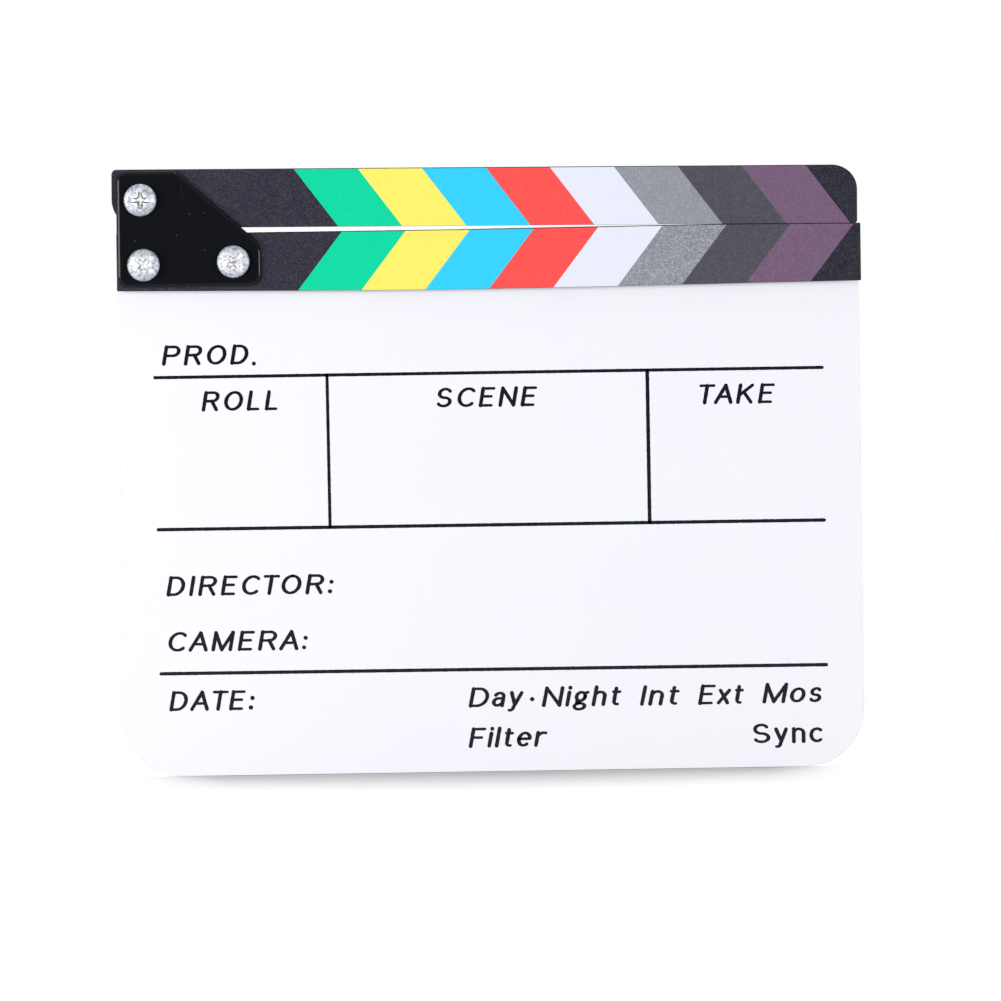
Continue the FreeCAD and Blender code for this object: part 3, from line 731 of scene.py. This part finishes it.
def bright_zinc(name, mottle, tone):
    """Zinc plate on steel: metal under a passivation haze, blotched in tone and scuffed by tools.

    A screw's own attributes add what its head shows: painted light on the recess floors, bright metal
    where the driver scraped the burr, painted near white as a highlight, and grime with painted shade
    on the walls and in dents.
    """
    material, tree, shader, place = start_material(name, {"Metallic": 0.5})
    spot = place.outputs["Object"]
    blotch = add_node(tree, "ShaderNodeTexNoise", {"Vector": spot, "Scale": 1 / mottle, "Detail": 4.0})
    plate = add_node(
        tree, "ShaderNodeValToRGB", {"Fac": blotch.outputs["Fac"]},
        stops=[(0.35, linear(tone)), (0.6, linear(ZINC_BRIGHT))])
    recess = add_node(tree, "ShaderNodeAttribute", {}, attribute_name="recess")
    scraped = add_node(tree, "ShaderNodeAttribute", {}, attribute_name="scraped")
    grime = add_node(tree, "ShaderNodeAttribute", {}, attribute_name="grime")
    # Painted light on the recess floors.
    recess_lit = add_node(
        tree, "ShaderNodeMixRGB",
        {"Fac": recess.outputs["Fac"], "Color1": plate.outputs["Color"], "Color2": linear(ZINC_RECESS_LIT)})
    # Painted highlight on the scraped burr.
    bared_highlight = add_node(
        tree, "ShaderNodeMixRGB",
        {"Fac": scraped.outputs["Fac"], "Color1": recess_lit.outputs["Color"], "Color2": linear(ZINC_SCRAPED_HIGHLIGHT)})
    # Grime and painted shade on the walls, shallow ends and dents.
    colour = add_node(
        tree, "ShaderNodeMixRGB",
        {"Fac": grime.outputs["Fac"], "Color1": bared_highlight.outputs["Color"], "Color2": linear(ZINC_GRIME_AND_SHADE)})
    scuff = add_node(tree, "ShaderNodeTexNoise", {"Vector": spot, "Scale": 1 / ZINC_SCUFF, "Detail": 3.0})
    gloss = add_node(
        tree, "ShaderNodeMapRange",
        {"Value": scuff.outputs["Fac"], "From Min": 0.3, "From Max": 0.7, "To Min": 0.5, "To Max": 0.64})
    bump = add_node(
        tree, "ShaderNodeBump",
        {"Height": scuff.outputs["Fac"], "Strength": 0.5, "Distance": ZINC_SCUFF_DEPTH})
    feed(tree, shader, {
        "Base Color": colour.outputs["Color"],
        "Roughness": gloss.outputs["Result"],
        "Normal": bump.outputs["Normal"]})
    return material


def soft_least(*heights):
    """The least of several heights, rounded where two cross: minus the log of their summed powers."""
    return -EDGE_BLEND * np.logaddexp.reduce([-height / EDGE_BLEND for height in heights])


def head_heights(radius, angle, head_radius, turn, reaches, rng):
    """Four fields at polar points of a head's plan: its height over the seat, the recess's depth under the
    crown, the share of the burr and the depth of the dents.

    A squarish elliptic crown on a short rim is cut by two crossed wings, which rise from a deep foot to the
    crown and have steep walls, and by a four-sided pilot point in the middle. Round the cut the driver has
    thrown up a burr, a bell of the height by which the wings pass over the crown. Dents are bells scattered
    over it all.
    """
    crown = HEAD_HEIGHT - HEAD_RIM_HEIGHT
    inward = np.clip(1 - (radius / head_radius) ** CROWN_SQUARENESS, 0, 1)
    dome = HEAD_RIM_HEIGHT + crown * inward ** (1 / CROWN_SQUARENESS)
    along, aside = radius * np.cos(angle - turn), radius * np.sin(angle - turn)
    x, z = radius * np.cos(angle), radius * np.sin(angle)
    dents = np.zeros_like(radius)
    for _ in range(DENT_COUNT):
        spread = rng.uniform(*DENT_SPREADS, 2)
        place = rng.uniform(-1, 1, 2) * head_radius
        heading = rng.uniform(0, np.pi)
        across = (x - place[0]) * np.cos(heading) + (z - place[1]) * np.sin(heading)
        beyond = (z - place[1]) * np.cos(heading) - (x - place[0]) * np.sin(heading)
        bell = np.exp(-(across / spread[0]) ** 2 - (beyond / spread[1]) ** 2)
        dents += rng.uniform(*DENT_SHARES) * DENT_DEPTH * bell
    wings = []
    for lengthwise, sidewise, reach in ((along, aside, reaches[0]), (aside, along, reaches[1])):
        chewing = np.sin(lengthwise / CHEW_WAVE + rng.uniform(0, CHEW_PHASES))
        chewed = RECESS_HALF_WIDTH * (1 + RECESS_CHEWING * chewing)
        share = np.clip((reach - np.abs(lengthwise)) / (reach - RECESS_FOOT), -1, 1)
        wall = RECESS_WALL_SLOPE * np.clip(np.abs(sidewise) - chewed, 0, None)
        wings.append(HEAD_HEIGHT - RECESS_DEPTH * share + wall)
    pilot = HEAD_HEIGHT - PILOT_DEPTH * (1 - (np.abs(along) + np.abs(aside)) / PILOT_REACH)
    over = np.clip(np.minimum.reduce([*wings, pilot]) - dome, 0, None)
    inward = 1 - radius / head_radius
    burr = np.exp(-(over / BURR_SPREAD) ** 2) * inward
    formed = soft_least(dome + BURR_HEIGHT * burr, *wings, pilot)
    return formed - dents * inward, dome - formed, burr, dents


def thread_radius(depth, angle, end):
    """Radius of the shank: a triangle wave of depth less turn, cut flat at crest and root, makes the
    helix, which fades in under the head, and a cone trims it at the end."""
    phase = (depth / THREAD_PITCH - angle / (2 * np.pi)) % 1
    groove = np.clip(THREAD_FLANK * np.abs(2 * phase - 1) - (THREAD_FLANK - 1) / 2, 0, 1)
    fade = np.clip(depth / THREAD_RUN_OUT, 0, 1)
    cone = SHANK_RADIUS - END_CHAMFER + (end - depth)
    return np.minimum(SHANK_RADIUS - THREAD_DEPTH * fade * groove, cone)


def pan_screw(name, node, turn, reaches, dirt_and_shade, seed, material):
    """A screw as rings about its axis: over the crown, down the rim, under the head, along the shank and
    over the end.

    Three attributes tell the material where the recess lies, whose floors take painted light, where its
    burr was scraped and takes a painted highlight, and where grime and painted shade lie: painted shade
    on steep walls, grime and painted shade in shallow ends and in dents.
    """
    low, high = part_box(node)
    middle = (low + high) / 2
    head_radius = (high.x - low.x) / 2
    end = high.y - PLATE_FRONT
    turns = np.arange(SCREW_COLUMNS) * 2 * np.pi / SCREW_COLUMNS
    crown = head_radius * np.sin(np.linspace(0, np.pi / 2, HEAD_ROWS))
    crown_radius, crown_angle = np.meshgrid(crown, turns, indexing="ij")
    rng = np.random.default_rng(seed)
    height, cut, burr, dents = head_heights(crown_radius, crown_angle, head_radius, turn, reaches, rng)
    height[0] = height[0].mean()
    fall = np.gradient(height, crown, axis=0)
    twist = np.gradient(height, turns, axis=1) / np.maximum(crown_radius, TWIST_LEAST_RADIUS)
    inside = np.clip(cut / RECESS_EDGE, 0, 1)
    # Painted shade: steep recess walls are darkened by their slope.
    gentle, steep = WALL_SHADE_SLOPE
    walls = np.clip((np.hypot(fall, twist) - gentle) / (steep - gentle), 0, 1) * inside
    # Grime and painted shade in the shallow ends and in dents.
    shallows = SHALLOW_GRIME_SHADE_SHARE * np.clip(1 - np.abs(cut - SHALLOW_GRIME_SHADE_DEPTH) / SHALLOW_GRIME_SHADE_SPREAD, 0, 1)
    pits = DENT_GRIME_SHADE * np.clip(dents / DENT_GRIME_SHADE_DEPTH, 0, 1)
    grime = np.maximum(dirt_and_shade * np.maximum(walls, shallows), pits)
    # Painted highlight: the scraped burr outside the cut.
    scraped = np.clip(SCRAPE_HIGHLIGHT_SHARE * burr * (1 - inside), 0, 1)
    under = np.array([*(head_radius * share for share in UNDER_RIM_RADII), SHANK_RADIUS])
    under_depth = -HEAD_RIM_HEIGHT * np.array(UNDER_RIM_HEIGHTS)
    along = np.linspace(0, end, int(end / SHANK_STEP))
    shank_depth, shank_angle = np.meshgrid(along, turns, indexing="ij")
    shank = thread_radius(shank_depth, shank_angle, end)
    last = np.zeros((1, SCREW_COLUMNS))
    ring = np.ones(SCREW_COLUMNS)
    radius = np.concatenate([crown_radius, np.outer(under, ring), shank, last])
    depth = np.concatenate([-height, np.outer(under_depth, ring), shank_depth, last + end])
    points = np.stack([
        middle.x + radius * np.cos(turns), PLATE_FRONT + depth, middle.z + radius * np.sin(turns)], axis=-1)
    plain = np.zeros((len(radius) - HEAD_ROWS, SCREW_COLUMNS))
    piece = add_piece(
        name, points, ring_quads(*radius.shape), material, nodes[node]["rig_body"], "zinc_steel",
        recess=np.concatenate([inside, plain]), scraped=np.concatenate([scraped, plain]),
        grime=np.concatenate([grime, plain]))
    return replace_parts(piece, node)


worn_zinc = bright_zinc("bright_zinc_plate_worn", ZINC_MOTTLE, ZINC_GREY)
for name, node, turn, (reach, cross_reach), dirt_and_shade, seed in SCREWS:
    pan_screw(name, node, math.radians(turn), (reach * MM, cross_reach * MM), dirt_and_shade, seed, worn_zinc)

# Washers: three plain rings stamped from steel strip and zinc plated, one under each nut at the back.
# Stamping rounds their edges, so that each is a rounded section carried round its screw.

ZINC_CLEAN_MOTTLE = 2.5 * MM
ZINC_CLEAN_TONE = "bfc3cf"
WASHER_EDGE = 0.25 * MM
WASHER_COLUMNS = 120
WASHER_CORNER_STEPS = 6
WASHER_BORE = 3.2 * MM


def stamped_washer(name, node, material):
    """A ring whose section, a rectangle with quarter-round corners, is carried round the screw's axis."""
    low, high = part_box(node)
    middle = (low + high) / 2
    outer = (high.x - low.x) / 2
    quarter = np.linspace(0, np.pi / 2, WASHER_CORNER_STEPS)
    round_out, round_up = WASHER_EDGE * np.sin(quarter), WASHER_EDGE * (1 - np.cos(quarter))
    inner_start, outer_start = WASHER_BORE + WASHER_EDGE, outer - WASHER_EDGE
    radius = np.concatenate([
        outer_start + round_out, outer_start + round_out[::-1],
        inner_start - round_out, inner_start - round_out[::-1]])
    depth = np.concatenate([
        low.y + round_up, high.y - round_up[::-1], high.y - round_up, low.y + round_up[::-1]])
    turns = np.arange(WASHER_COLUMNS) * 2 * np.pi / WASHER_COLUMNS
    points = np.stack([
        middle.x + np.outer(radius, np.cos(turns)),
        np.outer(depth, np.ones(WASHER_COLUMNS)),
        middle.z + np.outer(radius, np.sin(turns))], axis=-1)
    quads = ring_quads(len(radius), WASHER_COLUMNS, looped=True)
    piece = add_piece(name, points, quads, material, nodes[node]["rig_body"], "zinc_steel")
    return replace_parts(piece, node)


zinc = bright_zinc("bright_zinc_plate", ZINC_CLEAN_MOTTLE, ZINC_CLEAN_TONE)
for place in ("corner", "inner", "pivot_back"):
    stamped_washer(place + "_stamped_washer", place + "_washer", zinc)

# Nuts: two hexagon nuts on the plate screws, and a lock nut on the pivot that holds its play.
# They are turned from hexagon bar, chamfered at both ends and zinc plated like the screws.

for name in ("corner_nut", "inner_nut", "pivot_lock_nut"):
    nodes[name].material_slots[0].material = zinc

# Nylon pieces: the slip washer behind the hinge plate, and the locking ring in the lock nut's collar.
# Both are natural nylon, punched and turned, milky and a little waxy.

NYLON_MILKY = "e9e6db"
NYLON_WAXY = "d6d3c6"
NYLON_CLOUD = 2.0 * MM


def natural_nylon():
    """Natural nylon: milky, with waxy clouds and a soft gloss."""
    material, tree, shader, place = start_material("natural_nylon", {"IOR": 1.53, "Roughness": 0.4})
    cloud = add_node(
        tree, "ShaderNodeTexNoise",
        {"Vector": place.outputs["Object"], "Scale": 1 / NYLON_CLOUD, "Detail": 2.0})
    colour = add_node(
        tree, "ShaderNodeValToRGB", {"Fac": cloud.outputs["Fac"]},
        stops=[(0.35, linear(NYLON_MILKY)), (0.7, linear(NYLON_WAXY))])
    feed(tree, shader, {"Base Color": colour.outputs["Color"]})
    return material


nylon = natural_nylon()
nodes["pivot_front_washer"].material_slots[0].material = nylon
nodes["lock_nut_insert"].material_slots[0].material = nylon

# Stage: a white floor under the board's bottom edge, a white sky, and soft boxes as for copying flat work.
# Two boxes light the front from both sides, and a weaker one fills the back.
# One hangs overhead and lays a soft shadow forward.

FLOOR_DROP = 0.1 * MM
FLOOR_HALF = 6.0
FLOOR_WHITE = "dcdcdc"
FLOOR_BOUNCE = "404040"
FLOOR_LIT_MIDDLE = (-1 * MM, 0, 0)
FLOOR_LIT_REACH = (145 * MM, 350 * MM, 1)
FLOOR_LIT_SHARE = 0.74
SKY_WHITE = "ffffff"
SKY_LIGHT = 0.2
SKY_MIRRORED = 0.6
# Box, place, what it points at, width and height, all in metres, watts, and whether gloss mirrors it.
SOFT_BOXES = [
    ("left_box", (-1.15, -0.95, 0.21), (0, 0, 0.12), (1.3, 0.4), 21.5, True),
    ("right_box", (1.25, -1.1, 0.21), (0, 0, 0.12), (0.9, 0.4), 15.6, True),
    ("top_box", (0.0, 0.3, 1.0), (0, 0.3, 0), (1.5, 0.6), 21.5, False),
    ("back_box", (0.0, 1.6, 0.7), (0, 0, 0.12), (1.6, 0.8), 7.5, False),
]
FLAG_BLACK = "000000"
FLAG_CENTRE = (-0.06, -1.5, 0.32)
FLAG_HALF_WIDTH = 0.5
FLAG_HALF_HEIGHT = 0.32


def stage_plane(name, corners, material):
    """A four-cornered sheet that belongs to the studio and not to the object."""
    mesh = bpy.data.meshes.new(name)
    mesh.from_pydata(corners, [], [range(len(corners))])
    mesh.materials.append(material)
    plane = bpy.data.objects.new(name, mesh)
    bpy.context.scene.collection.objects.link(plane)
    return plane


def floor_paint():
    """White floor: lit in an oval under the board, so that it keeps the shadow, and outside it plain white
    to the camera and in gloss. It throws less light back than it shows, so that its own shadow doesn't
    grey the board's foot."""
    material = bpy.data.materials.new("white_floor_paint")
    material.use_nodes = True
    tree = material.node_tree
    tree.nodes.clear()
    place = add_node(tree, "ShaderNodeTexCoord", {})
    oval_place = add_node(
        tree, "ShaderNodeMapping",
        {"Vector": place.outputs["Object"], "Location": FLOOR_LIT_MIDDLE, "Scale": FLOOR_LIT_REACH},
        vector_type="TEXTURE")
    reach = add_node(tree, "ShaderNodeVectorMath", {0: oval_place.outputs["Vector"]}, operation="LENGTH")
    far = add_node(
        tree, "ShaderNodeMapRange", {"Value": reach.outputs["Value"], "From Min": FLOOR_LIT_SHARE},
        interpolation_type="SMOOTHSTEP")
    path = add_node(tree, "ShaderNodeLightPath", {})
    mirrored = add_node(
        tree, "ShaderNodeMath",
        {0: path.outputs["Is Glossy Ray"], 1: path.outputs["Is Transmission Ray"]}, operation="MAXIMUM")
    seen = add_node(
        tree, "ShaderNodeMath",
        {0: path.outputs["Is Camera Ray"], 1: mirrored.outputs["Value"]}, operation="MAXIMUM")
    share = add_node(
        tree, "ShaderNodeMath",
        {0: far.outputs["Result"], 1: seen.outputs["Value"]}, operation="MULTIPLY")
    tone = add_node(
        tree, "ShaderNodeMixRGB",
        {"Fac": path.outputs["Is Diffuse Ray"],
         "Color1": linear(FLOOR_WHITE), "Color2": linear(FLOOR_BOUNCE)})
    lit = add_node(tree, "ShaderNodeBsdfDiffuse", {"Color": tone.outputs["Color"]})
    plain = add_node(tree, "ShaderNodeEmission", {"Color": linear(SKY_WHITE), "Strength": 1.0})
    both = add_node(
        tree, "ShaderNodeMixShader",
        {0: share.outputs["Value"], 1: lit.outputs["BSDF"], 2: plain.outputs["Emission"]})
    add_node(tree, "ShaderNodeOutputMaterial", {"Surface": both.outputs["Shader"]})
    return material


def flag_cloth():
    """Black flag cloth that the gloss plate mirrors and the camera doesn't see."""
    return start_material("black_flag_cloth", {"Base Color": linear(FLAG_BLACK), "Roughness": 1.0})[0]


stage_plane("floor", [
    (-FLOOR_HALF, -FLOOR_HALF, -FLOOR_DROP), (FLOOR_HALF, -FLOOR_HALF, -FLOOR_DROP),
    (FLOOR_HALF, FLOOR_HALF, -FLOOR_DROP), (-FLOOR_HALF, FLOOR_HALF, -FLOOR_DROP)], floor_paint())
flag_x, flag_y, flag_z = FLAG_CENTRE
flag = stage_plane("black_flag", [
    (flag_x - FLAG_HALF_WIDTH, flag_y, flag_z - FLAG_HALF_HEIGHT),
    (flag_x + FLAG_HALF_WIDTH, flag_y, flag_z - FLAG_HALF_HEIGHT),
    (flag_x + FLAG_HALF_WIDTH, flag_y, flag_z + FLAG_HALF_HEIGHT),
    (flag_x - FLAG_HALF_WIDTH, flag_y, flag_z + FLAG_HALF_HEIGHT)], flag_cloth())
flag.visible_camera = False
flag.visible_diffuse = False
flag.visible_transmission = False
flag.visible_shadow = False

for name, location, aim, (width, height), power, mirrored in SOFT_BOXES:
    lamp = bpy.data.lights.new(name, "AREA")
    lamp.shape = "RECTANGLE"
    lamp.size = width
    lamp.size_y = height
    lamp.energy = power
    box = bpy.data.objects.new(name, lamp)
    box.location = location
    box.rotation_mode = "QUATERNION"
    box.rotation_quaternion = (Vector(aim) - Vector(location)).to_track_quat("-Z", "Y")
    box.visible_glossy = mirrored
    bpy.context.scene.collection.objects.link(box)

sky = bpy.data.worlds.new("white_sky")
sky.use_nodes = True
sky_tree = sky.node_tree
path = add_node(sky_tree, "ShaderNodeLightPath", {})
mirrored = add_node(
    sky_tree, "ShaderNodeMapRange",
    {"Value": path.outputs["Is Glossy Ray"], "To Min": SKY_LIGHT, "To Max": SKY_MIRRORED})
shown = add_node(
    sky_tree, "ShaderNodeMath",
    {0: path.outputs["Is Camera Ray"], 1: path.outputs["Is Transmission Ray"]}, operation="MAXIMUM")
level = add_node(
    sky_tree, "ShaderNodeMath",
    {0: shown.outputs["Value"], 1: mirrored.outputs["Result"]}, operation="MAXIMUM")
feed(
    sky_tree, sky_tree.nodes["Background"],
    {"Color": linear(SKY_WHITE), "Strength": level.outputs["Value"]})
bpy.context.scene.world = sky

# Camera: a very long lens eight metres in front, a little above the board and to its left.
# It leans by under a degree, as the photograph does.

CAMERA_DISTANCE = 8.0
CAMERA_AZIMUTH = math.radians(-2.195)
CAMERA_ELEVATION = math.radians(2.452)
CAMERA_ROLL = math.radians(-0.786)
CAMERA_AIM = Vector((3.63 * MM, 0, 109.75 * MM))
LENS = 710.1
SENSOR = 36.0

camera_data = bpy.data.cameras.new("camera")
camera_data.lens = LENS
camera_data.sensor_width = SENSOR
camera_data.clip_start = 0.1
camera_data.clip_end = 50.0
camera = bpy.data.objects.new("camera", camera_data)
back = Vector((
    math.sin(CAMERA_AZIMUTH) * math.cos(CAMERA_ELEVATION),
    -math.cos(CAMERA_AZIMUTH) * math.cos(CAMERA_ELEVATION),
    math.sin(CAMERA_ELEVATION)))
camera.location = CAMERA_AIM + back * CAMERA_DISTANCE
camera.rotation_mode = "QUATERNION"
camera.rotation_quaternion = (-back).to_track_quat("-Z", "Y") @ Quaternion((0, 0, 1), CAMERA_ROLL)
bpy.context.scene.collection.objects.link(camera)
bpy.context.scene.camera = camera
bpy.context.scene.view_settings.view_transform = "Standard"
